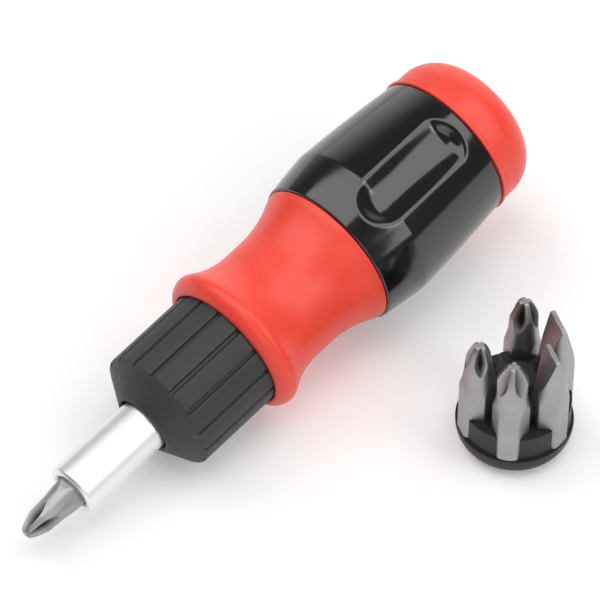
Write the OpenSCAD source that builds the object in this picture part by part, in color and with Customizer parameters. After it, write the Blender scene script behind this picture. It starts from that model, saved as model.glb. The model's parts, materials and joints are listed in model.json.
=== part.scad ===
// Stubby ratcheting screwdriver lying on its side, with its bit rack standing beside it.
// Lengths are in millimetres and angles in degrees.
// The driver is drawn on its own axis, z rising from the end cap to the nose, and is then laid down
// with the nose toward -X. It rests on the lip of the grip and on the front edge of the collar.

/* [End cap] */
// Length of the cap along the driver
cap_length = 11.7; // [9:0.1:14]
// Radius of the cap wall
cap_radius = 15.55; // [15:0.05:18]
// Rounding of the rear edge
cap_round = 7.45; // [5:0.05:8.5]
// How far the front rim stands out from the wall
cap_rim_stand = 0.4; // [0.2:0.05:1]
// Width of the front rim
cap_rim_width = 0.8; // [0.6:0.1:2]

/* [Barrel] */
// Length of the black barrel
barrel_length = 32.9; // [30:0.1:45]
// Radius at the cap
barrel_rear_radius = 15.6; // [15:0.05:18]
// Largest radius, at the soft ridge
barrel_ridge_radius = 17.33; // [16.5:0.01:20]
// Radius where the barrel meets the grip
barrel_front_radius = 16.05; // [15.5:0.05:18]
// Distance of the ridge from the grip
ridge_from_grip = 9.3; // [6:0.1:15]
// Wall thickness
barrel_wall = 2; // [1.5:0.1:2.5]
// Number of finger flutes
flute_count = 3; // [2:1:4]
// Depth of a flute below the barrel
flute_depth = 2.4; // [1:0.05:2.6]
// Radius of the flute in cross-section
flute_radius = 9; // [6:0.1:12]
// Distance between the rounded ends' centres
flute_run = 17.4; // [12:0.1:22]
// Lean of the flute along the barrel
flute_lean = 1.2; // [0:0.1:5]
// Roll of the first flute from straight up
flute_roll = -26; // [-60:1:60]

/* [Grip] */
// Length of the red grip
grip_length = 28.6; // [25:0.1:36]
// Radius of the waist
waist_radius = 12.85; // [12.4:0.05:15]
// Length of the straight part of the waist
waist_straight = 4.2; // [1:0.1:8]
// Distance of the waist's middle from the barrel
waist_from_barrel = 14; // [10:0.1:16]
// Radius of the flare in front of the waist
flare_round = 15.5; // [12:0.1:20]
// How far the lip stands out from the collar
lip_stand = 2.75; // [1.5:0.05:4]
// Distance of the lip's crest from its front edge
lip_from_front = 3; // [2.5:0.1:6]
// Wall thickness
grip_wall = 2; // [1.5:0.1:2.5]

/* [Selector collar] */
// Radius over the ribs
collar_radius = 12.9; // [12.4:0.05:15]
// Ribbed length in front of the lip
collar_length = 18.2; // [15:0.1:24]
// Length of the smooth front cone
cone_length = 4.3; // [2:0.1:8]
// Radius of the cone's front edge
cone_front_radius = 6.2; // [6:0.05:8]
// Number of grooves round the collar
groove_count = 16; // [8:1:24]
// Width of a groove at the surface
groove_width = 1.3; // [0.6:0.05:2]
// Depth of a groove
groove_depth = 0.6; // [0.3:0.05:1]
// Roll of the first groove from straight up
groove_roll = -24.5; // [-40:0.5:40]
// How far the collar is tucked inside the lip
collar_tuck = 2; // [1:0.1:3]

/* [Bit holder] */
// Radius of the bright sleeve
sleeve_radius = 5.35; // [5.2:0.05:5.6]
// Length of sleeve showing in front of the cone
sleeve_show = 19.2; // [14:0.1:26]
// Length of bit showing in front of the sleeve
bit_show = 12; // [11:0.1:16]
// Roll of the socket and its bit from straight up
bit_roll = -27.5; // [-60:0.5:60]
// Radius of the front bearing of the spindle
front_journal_radius = 4.4; // [4:0.05:4.7]
// Radius of the spindle behind the bearing
rear_journal_radius = 3.3; // [3:0.05:3.5]
// Radius of the magnet
magnet_radius = 2.5; // [2:0.1:3]
// Length of the magnet
magnet_length = 3; // [2:0.1:5]

/* [Bits] */
// Size across the flats of the hex
bit_flat = 6.35; // [6.3:0.01:6.4]
// Length of a bit
bit_length = 25; // [24:0.1:27]
// Length of the plain hex shank
bit_shank = 12.8; // [10:0.1:13.5]
// Radius of the neck at the hex
neck_radius = 2.9; // [2.6:0.05:3.15]
// Radius of the neck where the point begins
neck_tip_radius = 2.6; // [1.8:0.05:2.8]
// Radius of the blunt point of a cross tip
point_radius = 0.9; // [0.4:0.05:1.2]
// Length of the pointed end of a cross tip
point_length = 3.8; // [2:0.1:5]
// Lean of the grooves of a cross tip
groove_lean = 12.5; // [9:0.5:16]
// Width of a blade tip
blade_width = 5.5; // [4:0.1:6]
// Thickness of a blade tip at its end
blade_thick = 0.9; // [0.6:0.05:1.4]

/* [Bit rack] */
// Radius of the rack
rack_radius = 11.35; // [11:0.05:11.6]
// Radius of the flat foot
rack_foot_radius = 8.2; // [6:0.1:10]
// Height of the round base
rack_base_height = 5; // [3:0.1:6]
// Height of the blocks between the bits
rack_block_height = 11; // [8:0.1:14]
// Radius of the middle post
rack_post_radius = 4.4; // [4:0.1:4.6]
// Height of the middle post
rack_post_height = 17.4; // [14:0.1:22]
// Radius of the fins between the bits
rack_fin_radius = 7; // [5:0.1:8]
// Height of the fins
rack_fin_height = 16.3; // [11.5:0.1:16.4]
// Radius of the circle on which the bits stand
rack_circle = 7.95; // [7.9:0.05:8.1]
// Width of the open slot in front of a bit
rack_slot = 4.4; // [3:0.1:5.5]
// Turn of the rack about its post
rack_turn = 34.5; // [0:0.5:60]
// Distance of the rack from the rear face of the cap, along the driver
rack_along = 40.2; // [20:0.1:80]
// Distance of the rack from the driver's axis
rack_away = 45.5; // [42:0.1:80]

/* [Ratchet] */
// Radius of the ratchet cup
cup_radius = 10.45; // [10.2:0.05:10.8]
// Number of ratchet teeth
tooth_count = 24; // [12:12:36]
// Depth of a tooth
tooth_depth = 0.9; // [0.6:0.05:1]
// Width of the gear
gear_width = 8; // [6:0.1:9]
// Distance of the pawl's pivot below the cup's surface
pivot_below = 2.95; // [2.8:0.05:3.1]
// Radius of the pawl's pin
pin_radius = 0.75; // [0.6:0.05:0.9]
// Radius of the pawl's hub
hub_radius = 1.5; // [1.3:0.05:1.6]
// Rock of the pawl from its middle to either side
pawl_rock = 8; // [6:0.5:9]
// Swing of the collar from its middle to either side
collar_swing = 25; // [20:1:28]
// Thickness of the leaf spring
leaf_thick = 0.35; // [0.2:0.05:0.5]
// Thickness of the plug's flange
flange_thick = 2.8; // [2.4:0.1:3.4]
// Size across the flats of the plug's hex
plug_flat = 13; // [12:0.1:13.4]
// Length of the plug's hex
plug_length = 14; // [12.5:0.1:18]

/* [Core] */
// Radius of the storage well
well_radius = 12; // [11.9:0.05:12.2]
// Wall of the storage tube
core_wall = 1; // [0.8:0.05:1.2]
// Height of the thicker mouth of the tube
mouth_stand = 0.7; // [0.6:0.05:0.9]
// Length of the tube's mouth inside the cap
mouth_length = 6; // [5:0.1:6.4]
// Radius of the core screw
core_screw_radius = 2; // [1.5:0.1:2.2]
// Radius of the plug screws
plug_screw_radius = 0.95; // [0.8:0.05:1.1]

/* [Fits] */
// Radial play of a turning fit
running_gap = 0.06; // [0.02:0.01:0.1]
// Radial play of pieces that are pushed together
slip_gap = 0.05; // [0.02:0.01:0.1]
// Play of a bit in its socket, each side
bit_gap = 0.06; // [0.03:0.01:0.15]
// Space between pieces that pass without touching
clear_gap = 0.3; // [0.2:0.05:0.5]

/* [Hidden] */
$fn = 96;
// How far a cutter runs past the face it leaves
over = 1;
z_barrel = cap_length;
z_grip = z_barrel + barrel_length;
z_lip_front = z_grip + grip_length;
z_corner = z_lip_front + collar_length;
z_cone = z_corner + cone_length;
z_mouth = z_cone + sleeve_show;
z_tip = z_mouth + bit_show;
z_bit_seat = z_tip - bit_length;
z_ridge = z_grip - ridge_from_grip;
z_waist_rear = z_grip + waist_from_barrel - waist_straight / 2;
z_waist_front = z_waist_rear + waist_straight;
z_lip = z_lip_front - lip_from_front;

// The lip's front is one arc from the crest to the edge round the collar
lip_radius = collar_radius + lip_stand;
lip_edge = 0.35;
lip_drop = lip_stand - clear_gap - lip_edge;
lip_round = (lip_from_front * lip_from_front + lip_drop * lip_drop) / (2 * lip_drop);
lip_blend = 0.6;
sweep_rise = barrel_front_radius - waist_radius;
sweep_length = z_waist_rear - z_grip;
sweep_round = (sweep_length * sweep_length + sweep_rise * sweep_rise) / (2 * sweep_rise);

// Stack of the ratchet along the axis
flange_stand = 0.2;
gear_room = 0.4;
washer_thick = 1;
cup_inset = 0.2;
spindle_tail = 5;
z_flange = z_lip_front + flange_stand;
z_flange_rear = z_flange - flange_thick;
z_gear = z_flange + gear_room;
z_gear_front = z_gear + gear_width;
z_chamber = z_gear_front + washer_thick + 2 * slip_gap;
z_cup_front = z_corner - cup_inset;
z_sleeve_rear = z_cup_front + clear_gap;
z_collar_rear = z_lip_front - collar_tuck;
z_collar_face = z_cup_front + clear_gap;
z_core_front = z_flange_rear - slip_gap;
z_plug_rear = z_flange_rear - plug_length;
z_socket_floor = z_plug_rear - slip_gap;
z_spindle_rear = z_flange_rear - spindle_tail;
collar_bore = cup_radius + running_gap;
core_front_radius = waist_radius - grip_wall - slip_gap;
web_bore = max(core_front_radius, cup_radius) + slip_gap;
tube_radius = well_radius + core_wall;
tube_lap = 2;
z_tube_front = z_grip + tube_lap;
mouth_radius = tube_radius + mouth_stand;
z_mouth_rear = z_barrel - mouth_length;
cap_bore = mouth_radius + clear_gap;

// Ratchet in cross-section
hub_room = 0.4;
pivot_radius = cup_radius - pivot_below;
gear_tip_radius = pivot_radius - hub_radius - hub_room;
gear_root_radius = gear_tip_radius - tooth_depth;
chamber_room = 1.4;
chamber_radius = gear_tip_radius + chamber_room;
tooth_pitch = 360 / tooth_count;
// Angle from the pivot to either nose, a whole number of teeth for every tooth count
nose_angle = 30;
nose_room = 0.1;
pawl_sunk = 1.35;
pawl_room = 0.95;
pawl_overrun = 5;
pawl_inset = 0.6;
pawl_back = cup_radius - pawl_sunk;
pawl_inner = gear_tip_radius + pawl_room;
pawl_end = nose_angle + pawl_overrun;
pawl_width = gear_width - 2 * pawl_inset;
pin_rear_hold = 2;
pin_front_hold = 3;
window_half = 43;
leaf_half = 11.5;
leaf_width = 5;
leaf_sunk = 1;
leaf_seat = collar_bore + leaf_sunk;

// Rest pose of the driver: the tangent from the lip's arc to the front edge of the collar
arm_along = z_corner - z_lip;
arm_across = lip_radius - lip_round - collar_radius;
nose_down = atan2(arm_across, arm_along) + asin(lip_round / norm([arm_along, arm_across]));
cap_height = z_lip * sin(nose_down) + (lip_radius - lip_round) * cos(nose_down) + lip_round;

// The origin lies under the middle of the whole layout
span_rear = cap_round * (1 - cos(nose_down)) + (cap_radius - cap_round) * sin(nose_down);
span_front = z_tip * cos(nose_down);
cap_x = (span_front - span_rear) / 2;
driver_y = (rack_away + rack_radius - barrel_ridge_radius) / 2;
rack_x = cap_x - rack_along;
rack_y = driver_y - rack_away;

black = [0.06, 0.06, 0.06];
red = [0.95, 0.25, 0.18];
steel = [0.72, 0.72, 0.74];
dark_steel = [0.45, 0.45, 0.47];

// Lays a piece of the driver down into its rest pose
module lay_down() {
    translate([cap_x, driver_y, cap_height])
        rotate([0, -90 - nose_down, 0])
            children();
}

// Turns the ratchet's cross-section so that the pivot, drawn on +Y, points up
module pivot_up() {
    rotate(-90)
        children();
}

// Puts a piece of the rack in its place on the floor
module on_rack() {
    translate([rack_x, rack_y, 0])
        rotate(rack_turn)
            children();
}

function smooth_least(a, b, k) =
    let (h = max(k - abs(a - b), 0) / k) min(a, b) - h * h * k / 4;

// Outer radius of the barrel at a height
function barrel_at(z) =
    let (rear = (z_ridge - z) / (z_ridge - z_barrel))
    let (front = (z - z_ridge) / (z_grip - z_ridge))
    z < z_ridge
    ? barrel_ridge_radius - (barrel_ridge_radius - barrel_rear_radius) * (rear + rear * rear) / 2
    : barrel_ridge_radius - (barrel_ridge_radius - barrel_front_radius) * (4 * front + front * front) / 5;

// Outer radius of the grip at a height
function flare_at(z) =
    waist_radius + flare_round - sqrt(max(0, flare_round * flare_round - pow(z - z_waist_front, 2)));
function lip_at(z) =
    lip_radius - lip_round + sqrt(max(0, lip_round * lip_round - pow(z - z_lip, 2)));
function grip_at(z) =
    z < z_waist_rear
    ? waist_radius + sweep_round - sqrt(sweep_round * sweep_round - pow(z_waist_rear - z, 2))
    : z < z_waist_front
        ? waist_radius
        : z < z_lip ? smooth_least(flare_at(z), lip_radius, lip_blend) : lip_at(z);

function steps(from, to, count) = [for (i = [0:count]) from + (to - from) * i / count];

barrel_heights = concat(steps(z_barrel, z_ridge, 14),
    [for (z = steps(z_ridge, z_grip, 6)) if (z > z_ridge) z]);
barrel_end_wall = 2;
z_hollow_rear = z_barrel + barrel_end_wall;
z_hollow_front = z_grip - barrel_end_wall;
hollow_least = 0.2;
flute_set_back = 1;

// Capsule that scoops one flute, or with a margin the wall behind it
module flute(margin) {
    middle = (z_barrel + z_grip) / 2 - flute_set_back;
    rotate(flute_roll)
        translate([barrel_at(middle) - flute_depth + flute_radius, 0, middle])
            rotate([0, flute_lean, 0])
                union() {
                    cylinder(r = flute_radius + margin, h = flute_run, center = true);
                    translate([0, 0, flute_run / 2])
                        sphere(r = flute_radius + margin);
                    translate([0, 0, -flute_run / 2])
                        sphere(r = flute_radius + margin);
                }
}

module flutes(margin) {
    for (i = [0:flute_count - 1])
        rotate(i * 360 / flute_count)
            flute(margin);
}

// Black barrel: a thin shell over the storage tube, with the flutes scooped into it
module barrel_shell() {
    bore = tube_radius + slip_gap;
    outer = [for (z = barrel_heights) [barrel_at(z), z]];
    hollow = [for (z = steps(z_hollow_rear, z_hollow_front, 14))
        [max(bore + hollow_least, barrel_at(z) - barrel_wall), z]];
    color(black)
        lay_down()
            difference() {
                rotate_extrude()
                    polygon(concat([[bore, z_barrel]], outer, [[bore, z_grip]]));
                difference() {
                    rotate_extrude()
                        polygon(concat([[bore - over, z_hollow_rear]], hollow,
                            [[bore - over, z_hollow_front]]));
                    flutes(barrel_wall);
                }
                flutes(0);
            }
}

web_thick = 2;

// Red grip: concave waist with a flared lip round the collar
module grip_sleeve() {
    web_front = z_collar_rear - clear_gap;
    web_rear = web_front - web_thick;
    heights = concat(steps(z_grip, z_waist_rear, 12), steps(z_waist_front, z_lip, 14),
        [for (z = steps(z_lip, z_lip_front, 8)) if (z > z_lip) z]);
    inner_heights = concat(steps(web_rear, z_waist_front, 10), steps(z_waist_rear, z_grip, 10));
    outer = [for (z = heights) [grip_at(z), z]];
    inner = [for (z = inner_heights) [grip_at(z) - grip_wall, z]];
    front = [
        [collar_radius + clear_gap, z_lip_front],
        [collar_radius + clear_gap, web_front],
        [web_bore, web_front],
        [web_bore, web_rear]];
    color(red)
        lay_down()
            rotate_extrude()
                polygon(concat(outer, front, inner));
}

o_ring_wire = 0.58;
o_ring_radius = cap_bore - o_ring_wire - slip_gap;
z_o_ring = z_barrel - mouth_length / 2;

// Tube round the storage well, with a thicker mouth that takes the cap
module storage_tube() {
    color(black)
        lay_down()
            difference() {
                rotate_extrude()
                    polygon([
                        [well_radius, z_mouth_rear],
                        [mouth_radius, z_mouth_rear],
                        [mouth_radius, z_barrel],
                        [tube_radius, z_barrel],
                        [tube_radius, z_tube_front],
                        [well_radius, z_tube_front]]);
                translate([0, 0, z_o_ring])
                    rotate_extrude()
                        translate([o_ring_radius - o_ring_wire - slip_gap, -o_ring_wire - slip_gap])
                            square([2 * o_ring_wire + over, 2 * (o_ring_wire + slip_gap)]);
            }
}

core_head_radius = core_screw_radius * 1.75;
core_head_height = core_screw_radius * 1.2;
core_head_room = 0.6;
core_screw_bite = 7;
z_screw_seat = z_grip + core_head_height + core_head_room;
core_screw_length = z_plug_rear + core_screw_bite - z_screw_seat;

// Core: the floor of the storage well, the seat of the grip and the hex socket that takes the
// ratchet's torque
module handle_core() {
    color(black)
        lay_down()
            difference() {
                rotate_extrude()
                    polygon([
                        [0, z_grip],
                        [well_radius - slip_gap, z_grip],
                        [well_radius - slip_gap, z_tube_front],
                        [core_front_radius, z_tube_front],
                        [core_front_radius, z_core_front],
                        [0, z_core_front]]);
                pivot_up()
                    translate([0, 0, z_socket_floor])
                        cylinder(r = (plug_flat / 2 + slip_gap) / cos(30), h = plug_length + over, $fn = 6);
                translate([0, 0, z_grip - over])
                    cylinder(r = core_screw_radius + 2 * slip_gap, h = z_plug_rear - z_grip + over);
                translate([0, 0, z_grip - over])
                    cylinder(r = core_head_radius + clear_gap, h = z_screw_seat - z_grip + over);
            }
}

// Ring that grips the cap
module cap_o_ring() {
    color(black)
        lay_down()
            translate([0, 0, z_o_ring])
                rotate_extrude()
                    translate([o_ring_radius, 0])
                        circle(r = o_ring_wire, $fn = 32);
}

cap_parting = 0.15;
cap_roof = 2.4;
cap_step = 1;
mouth_room = 0.4;

// End cap with a rounded rear edge and a narrow rim at the barrel
module end_cap() {
    front = z_barrel - cap_parting;
    rim_rear = front - cap_rim_width;
    skirt_rear = z_mouth_rear - mouth_room;
    hollow = well_radius - cap_step;
    edge = [for (a = steps(-90, 0, 14))
        [cap_radius - cap_round + cap_round * cos(a), cap_round + cap_round * sin(a)]];
    rim = [
        [cap_radius, rim_rear],
        [cap_radius + cap_rim_stand, rim_rear + cap_rim_stand / 2],
        [cap_radius + cap_rim_stand, front - cap_rim_stand / 4],
        [cap_radius + cap_rim_stand * 3 / 4, front],
        [cap_bore, front],
        [cap_bore, skirt_rear],
        [hollow, skirt_rear],
        [hollow, cap_roof],
        [0, cap_roof]];
    color(red)
        lay_down()
            rotate_extrude()
                polygon(concat([[0, 0]], edge, rim));
}

recess_half = core_head_radius * 0.6;
recess_width = core_screw_radius * 0.4;
recess_depth = core_head_height * 0.6;

// Screw that pulls the ratchet plug into the core
module core_screw() {
    color(steel)
        lay_down()
            translate([0, 0, z_screw_seat])
                difference() {
                    union() {
                        cylinder(r = core_screw_radius, h = core_screw_length);
                        translate([0, 0, -core_head_height])
                            cylinder(r = core_head_radius, h = core_head_height);
                    }
                    for (turn = [0, 90])
                        rotate(turn)
                            translate([-recess_half, -recess_width / 2, -core_head_height - over])
                                cube([2 * recess_half, recess_width, recess_depth + over]);
                }
}

screw_circle = (chamber_radius + cup_radius) / 2;
screw_angles = [30, 150, 270];
plug_screw_length = 8;
plug_head_radius = plug_screw_radius * 1.9;
plug_head_depth = plug_head_radius - plug_screw_radius;
plug_slot = plug_screw_radius * 0.42;

// Countersunk screw on its axis, head downward at height zero, with a margin all round
module plug_screw(margin) {
    cylinder(r1 = plug_head_radius + margin, r2 = plug_screw_radius + margin, h = plug_head_depth);
    cylinder(r = plug_screw_radius + margin, h = plug_screw_length + margin);
}

// Three screws that close the ratchet housing
module plug_screws() {
    color(steel)
        lay_down()
            pivot_up()
                for (turn = screw_angles)
                    rotate(turn)
                        translate([screw_circle, 0, z_flange_rear])
                            difference() {
                                plug_screw(0);
                                translate([-plug_head_radius, -plug_slot / 2, -over])
                                    cube([2 * plug_head_radius, plug_slot, plug_slot + over]);
                            }
}

clip_stand = 1.5;
clip_radius = rear_journal_radius + clip_stand;
clip_groove_radius = rear_journal_radius - 0.7;
clip_thick = 0.6;
clip_mouth = 3.6;
z_clip = z_gear - clip_thick - slip_gap;
tail_room = 0.2;
z_pin_rear = z_flange - pin_rear_hold;
z_pin_front = z_chamber + pin_front_hold;

// Rear half of the ratchet housing: a flange with the hex that turns the core
module ratchet_plug() {
    color(steel)
        lay_down()
            pivot_up()
                difference() {
                    union() {
                        translate([0, 0, z_flange_rear])
                            cylinder(r = cup_radius, h = flange_thick);
                        translate([0, 0, z_plug_rear])
                            cylinder(r = plug_flat / 2 / cos(30), h = plug_length + over, $fn = 6);
                    }
                    translate([0, 0, z_spindle_rear - tail_room])
                        cylinder(r = rear_journal_radius + running_gap,
                            h = spindle_tail + flange_thick + over);
                    translate([0, 0, z_clip - clear_gap])
                        cylinder(r = clip_radius + clear_gap, h = flange_thick);
                    translate([0, 0, z_plug_rear - over])
                        cylinder(r = core_screw_radius + slip_gap, h = core_screw_bite + slip_gap + over);
                    for (turn = screw_angles)
                        rotate(turn)
                            translate([screw_circle, 0, z_flange_rear])
                                plug_screw(slip_gap);
                    translate([0, pivot_radius, z_pin_rear])
                        cylinder(r = pin_radius + slip_gap, h = pin_rear_hold + over);
                }
}

ring_wire = 0.45;
ring_sunk = 0.03;
ring_set_back = 3;
ring_mouth = 2.4;
ring_radius = cup_radius - ring_sunk;
z_ring = z_cup_front - ring_set_back;
bush_wall = 1.2;
bush_radius = front_journal_radius + bush_wall;

// Front half of the ratchet housing, open on one side for the pawl
module ratchet_cup() {
    reach = 2 * cup_radius;
    window = [
        [0, 0],
        [reach * sin(window_half), reach * cos(window_half)],
        [0, 2 * reach],
        [-reach * sin(window_half), reach * cos(window_half)]];
    color(dark_steel)
        lay_down()
            pivot_up()
                difference() {
                    translate([0, 0, z_flange])
                        cylinder(r = cup_radius, h = z_cup_front - z_flange);
                    translate([0, 0, z_flange - over])
                        cylinder(r = chamber_radius, h = z_chamber - z_flange + over);
                    translate([0, 0, z_flange - over])
                        linear_extrude(height = z_gear_front + clear_gap - z_flange + over)
                            polygon(window);
                    translate([0, 0, z_chamber - over])
                        cylinder(r = bush_radius + slip_gap, h = z_cup_front - z_chamber + 2 * over);
                    translate([0, pivot_radius, z_gear_front])
                        cylinder(r = pin_radius + slip_gap, h = z_pin_front - z_gear_front);
                    for (turn = screw_angles)
                        rotate(turn)
                            translate([screw_circle, 0, z_flange_rear])
                                plug_screw(slip_gap);
                    translate([0, 0, z_ring])
                        rotate_extrude()
                            translate([ring_radius - ring_wire - slip_gap, -ring_wire - slip_gap])
                                square([2 * ring_wire + over, 2 * (ring_wire + slip_gap)]);
                }
}

// Plain bearing of the spindle in the front wall
module front_bush() {
    color([0.7, 0.55, 0.3])
        lay_down()
            translate([0, 0, z_chamber])
                difference() {
                    cylinder(r = bush_radius, h = z_cup_front - z_chamber);
                    translate([0, 0, -over])
                        cylinder(r = front_journal_radius + running_gap,
                            h = z_cup_front - z_chamber + 2 * over);
                }
}

// Pin on which the pawl rocks
module pawl_pin() {
    color(steel)
        lay_down()
            pivot_up()
                translate([0, pivot_radius, z_pin_rear + slip_gap])
                    cylinder(r = pin_radius, h = z_pin_front - z_pin_rear - 2 * slip_gap, $fn = 48);
}

// Split ring that keeps the collar on the cup
module collar_ring() {
    color(steel)
        lay_down()
            translate([0, 0, z_ring])
                difference() {
                    rotate_extrude()
                        translate([ring_radius, 0])
                            circle(r = ring_wire, $fn = 32);
                    translate([0, -ring_mouth / 2, -ring_wire - over])
                        cube([2 * ring_radius, ring_mouth, 2 * (ring_wire + over)]);
                }
}

key_width = 2;
key_sunk = 1.2;
key_stand = 0.5;
key_inset = 1;
key_length = gear_width - 2 * key_inset;
key_angle = tooth_pitch / 2 + 270;

// Space of the key in the spindle and the gear
module key_block(margin) {
    rotate(key_angle)
        translate([rear_journal_radius - key_sunk - margin, -key_width / 2 - margin,
            z_gear + key_inset - margin])
            cube([key_sunk + key_stand + 2 * margin, key_width + 2 * margin, key_length + 2 * margin]);
}

// Key that locks the gear to the spindle
module gear_key() {
    color(steel)
        lay_down()
            key_block(0);
}

// Spindle and bit sleeve in one piece, with a hex socket in its nose
module bit_holder() {
    sleeve_chamfer = 0.5;
    mouth_chamfer = 1;
    color(steel)
        lay_down()
            difference() {
                rotate_extrude()
                    polygon([
                        [0, z_spindle_rear],
                        [rear_journal_radius, z_spindle_rear],
                        [rear_journal_radius, z_clip - slip_gap],
                        [clip_groove_radius, z_clip - slip_gap],
                        [clip_groove_radius, z_gear - slip_gap / 2],
                        [rear_journal_radius, z_gear - slip_gap / 2],
                        [rear_journal_radius, z_gear_front],
                        [front_journal_radius, z_gear_front],
                        [front_journal_radius, z_sleeve_rear],
                        [sleeve_radius, z_sleeve_rear],
                        [sleeve_radius, z_mouth - sleeve_chamfer],
                        [sleeve_radius - sleeve_chamfer, z_mouth],
                        [0, z_mouth]]);
                translate([0, 0, z_bit_seat])
                    rotate(bit_roll)
                        cylinder(r = (bit_flat / 2 + bit_gap) / cos(30), h = bit_length, $fn = 6);
                translate([0, 0, z_mouth + slip_gap - mouth_chamfer])
                    cylinder(r1 = bit_flat / 2, r2 = bit_flat / 2 + mouth_chamfer, h = mouth_chamfer);
                translate([0, 0, z_bit_seat - magnet_length - 2 * slip_gap])
                    cylinder(r = magnet_radius + slip_gap, h = magnet_length + over);
                key_block(slip_gap);
            }
}

// Magnet that holds the bit in its socket
module holder_magnet() {
    color(dark_steel)
        lay_down()
            translate([0, 0, z_bit_seat - magnet_length - slip_gap])
                cylinder(r = magnet_radius, h = magnet_length);
}

// Toothed outline of the gear: gaps lie at whole steps of the pitch from +Y
module gear_outline() {
    gap_half = tooth_pitch * 0.13;
    land_half = tooth_pitch * 0.07;
    points = [for (i = [0:tooth_count - 1])
        each [
            [gear_root_radius, i * tooth_pitch - gap_half],
            [gear_root_radius, i * tooth_pitch + gap_half],
            [gear_tip_radius, (i + 0.5) * tooth_pitch - land_half],
            [gear_tip_radius, (i + 0.5) * tooth_pitch + land_half]]];
    polygon([for (p = points) [p[0] * cos(p[1]), p[0] * sin(p[1])]]);
}

// Ratchet gear on the spindle
module ratchet_gear() {
    color(steel)
        lay_down()
            difference() {
                translate([0, 0, z_gear])
                    linear_extrude(height = gear_width)
                        gear_outline();
                translate([0, 0, z_gear - over])
                    cylinder(r = rear_journal_radius + slip_gap / 2, h = gear_width + 2 * over);
                key_block(slip_gap);
            }
}

// Spring clip behind the gear
module holder_clip() {
    color(steel)
        lay_down()
            translate([0, 0, z_clip])
                difference() {
                    cylinder(r = clip_radius, h = clip_thick);
                    translate([0, 0, -over])
                        cylinder(r = clip_groove_radius + slip_gap, h = clip_thick + 2 * over);
                    translate([0, -clip_mouth / 2, -over])
                        cube([2 * clip_radius, clip_mouth, clip_thick + 2 * over]);
                }
}

washer_room = 0.5;

// Washer between the gear and the front wall
module thrust_washer() {
    color(steel)
        lay_down()
            translate([0, 0, z_gear_front + slip_gap])
                difference() {
                    cylinder(r = chamber_radius - washer_room, h = washer_thick);
                    translate([0, 0, -over])
                        cylinder(r = front_journal_radius + running_gap, h = washer_thick + 2 * over);
                }
}

// Turns points of the pawl's middle position about its pivot
function rocked(p, angle) =
    let (x = p[0], y = p[1] - pivot_radius)
    [x * cos(angle) - y * sin(angle), pivot_radius + x * sin(angle) + y * cos(angle)];

function on_circle(radius, from_top) = [radius * sin(from_top), radius * cos(from_top)];

nose_tip_half = 0.07;
nose_base_half = 0.8;
nose_sunk = 0.4;

// The pawl in its middle position. The back is the path of the spring's crest as the pawl
// rocks in step with the collar, so that the spring presses alike all the way.
module pawl_block() {
    back = [for (turn = steps(-collar_swing, collar_swing, 20))
        rocked(on_circle(pawl_back, turn), pawl_rock * turn / collar_swing)];
    inner = [for (turn = steps(pawl_end, -pawl_end, 20)) on_circle(pawl_inner, turn)];
    nose_tip = gear_root_radius + nose_room;
    nose_base = pawl_inner + nose_sunk;
    nose = [
        [-nose_tip_half, nose_tip],
        [nose_tip_half, nose_tip],
        [nose_base_half, nose_base],
        [-nose_base_half, nose_base]];
    union() {
        linear_extrude(height = pawl_width)
            polygon(concat(back, [on_circle(pawl_back, pawl_end)], inner,
                [on_circle(pawl_back, -pawl_end)]));
        translate([0, pivot_radius, 0])
            cylinder(r = hub_radius, h = pawl_width);
        for (side = [-1, 1])
            linear_extrude(height = pawl_width)
                polygon([for (p = nose)
                    rocked(on_circle(norm(p), side * nose_angle + atan2(p[0], p[1])), side * pawl_rock)]);
    }
}

// Two-nosed pawl, at rest with one nose in the gear
module rocker_pawl() {
    color(dark_steel)
        lay_down()
            pivot_up()
                translate([0, pivot_radius, z_gear + pawl_inset])
                    rotate(-pawl_rock)
                        translate([0, -pivot_radius, 0])
                            difference() {
                                pawl_block();
                                translate([0, pivot_radius, -over])
                                    cylinder(r = pin_radius + running_gap, h = pawl_width + 2 * over);
                            }
}

z_leaf = z_gear + (gear_width - leaf_width) / 2;
cone_edge = 0.35;
pocket_margin = 1.5;
pocket_room = 0.3;

// Ribbed collar that sets the direction of the ratchet
module selector_collar() {
    mouth = cone_front_radius - cone_edge;
    pocket_half = leaf_half + pocket_margin;
    pocket_reach = leaf_seat / cos(pocket_half) + pocket_room;
    ring_half = ring_wire + 2 * slip_gap;
    over_half = groove_width / 2 + over * groove_width / (4 * groove_depth);
    color(black)
        lay_down()
            difference() {
                rotate_extrude()
                    polygon([
                        [collar_bore, z_collar_rear],
                        [collar_radius, z_collar_rear],
                        [collar_radius, z_corner],
                        [cone_front_radius, z_cone],
                        [mouth, z_cone - cone_edge],
                        [mouth, z_collar_face],
                        [collar_bore, z_collar_face]]);
                for (i = [0:groove_count - 1])
                    rotate(groove_roll + i * 360 / groove_count)
                        translate([0, 0, z_collar_rear - over])
                            linear_extrude(height = z_corner - z_collar_rear + 2 * over)
                                polygon([
                                    [collar_radius - groove_depth, -groove_width / 4],
                                    [collar_radius + over, -over_half],
                                    [collar_radius + over, over_half],
                                    [collar_radius - groove_depth, groove_width / 4]]);
                translate([0, 0, z_ring])
                    rotate_extrude()
                        translate([collar_bore - over, -ring_half])
                            square([ring_wire + slip_gap + over, 2 * ring_half]);
                pivot_up()
                    rotate(-collar_swing)
                        translate([0, 0, z_leaf - slip_gap])
                            linear_extrude(height = leaf_width + 2 * slip_gap)
                                polygon([
                                    [0, 0],
                                    on_circle(pocket_reach, pocket_half),
                                    on_circle(pocket_reach, pocket_half / 3),
                                    on_circle(pocket_reach, -pocket_half / 3),
                                    on_circle(pocket_reach, -pocket_half)]);
            }
}

spring_room = 0.1;

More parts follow.
